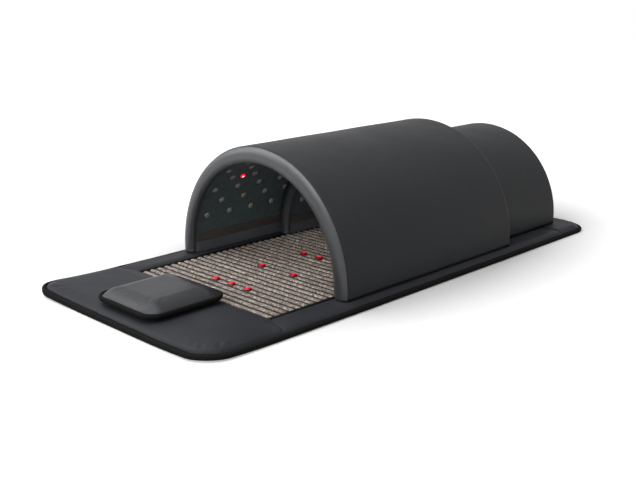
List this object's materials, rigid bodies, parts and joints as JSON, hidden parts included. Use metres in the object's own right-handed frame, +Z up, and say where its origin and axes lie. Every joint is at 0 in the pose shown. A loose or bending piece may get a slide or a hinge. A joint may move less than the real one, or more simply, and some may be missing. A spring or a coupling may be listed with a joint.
{
  "type": "sauna tunnel",
  "caption": "Padded arch domes that telescope over a heated stone mat with red lamps and a loose bound head pillow; a lying person fits inside.",
  "frame": {"origin": "middle of the mat's underside, on the floor", "axes": "+X from the head end to the foot end, +Y to the far side, +Z up"},
  "size_m": [1.914, 0.85, 0.4432],
  "materials": {
    "dome_leather": "matte",
    "rim_leather": "satin",
    "mat_leather": "satin",
    "binding_tape": "matte",
    "foam": "matte",
    "bent_ply": "satin",
    "rail_wood": "satin",
    "heating_film": "satin",
    "liner_fabric": "matte",
    "band_fabric": "matte",
    "jade": "polished",
    "stone_channels": "matte",
    "trim_fabric": "matte",
    "red_lens": "gloss",
    "black_plastic": "satin",
    "flat_cable": "satin",
    "sensor_body": "satin",
    "screw_steel": "satin"
  },
  "bodies": {
    "mat": {"mat_underside": "trim_fabric", "mat_core": "foam", "mat_heating_film": "heating_film", "mat_stone_quilt": "stone_channels", "mat_bed_trims": "trim_fabric", "mat_head_panel": "mat_leather", "mat_foot_panel": "mat_leather", "mat_near_border": "mat_leather", "mat_far_border": "mat_leather", "mat_binding": "binding_tape", "mat_lamp_lenses": "red_lens", "mat_lamp_bezels": "black_plastic", "mat_wiring_loom": "flat_cable", "mat_heat_sensors": "sensor_body", "mat_power_socket": "black_plastic"},
    "large_dome": {"large_cover": "dome_leather", "large_padding": "foam", "large_shell": "bent_ply", "large_insulation": "foam", "large_heating_film": "heating_film", "large_wiring_loom": "flat_cable", "large_heat_sensors": "sensor_body", "large_liner": "liner_fabric", "large_liner_stones": "jade", "large_lamps": "red_lens", "large_inner_skirts": "dome_leather", "large_skirt_bands": "band_fabric", "large_front_rim": "rim_leather", "large_rear_rim": "rim_leather", "large_base_rails": "rail_wood", "large_base_pads": "dome_leather", "large_rail_screws": "screw_steel", "large_power_socket": "black_plastic"},
    "small_dome": {"small_cover": "dome_leather", "small_padding": "foam", "small_shell": "bent_ply", "small_insulation": "foam", "small_heating_film": "heating_film", "small_wiring_loom": "flat_cable", "small_heat_sensors": "sensor_body", "small_liner": "liner_fabric", "small_liner_stones": "jade", "small_lamps": "red_lens", "small_inner_skirts": "dome_leather", "small_skirt_bands": "band_fabric", "small_front_rim": "rim_leather", "small_rear_rim": "rim_leather", "small_base_rails": "rail_wood", "small_base_pads": "dome_leather", "small_rail_screws": "screw_steel", "small_power_socket": "black_plastic"},
    "pillow": {"pillow_top_cover": "mat_leather", "pillow_base_cover": "mat_leather", "pillow_filling": "foam", "pillow_binding": "binding_tape"}
  },
  "joints": [
    {"name": "large_dome_slide", "type": "slide", "parent": "mat", "child": "large_dome", "axis": [1, 0, 0], "range_m": [-0.23, 0.404]},
    {"name": "small_dome_slide", "type": "slide", "parent": "mat", "child": "small_dome", "axis": [1, 0, 0], "range_m": [-0.404, 0.08]},
    {"name": "pillow_lift", "type": "slide", "parent": "mat", "child": "pillow", "axis": [0, 0, 1], "range_m": [0, 0.3]}
  ]
}
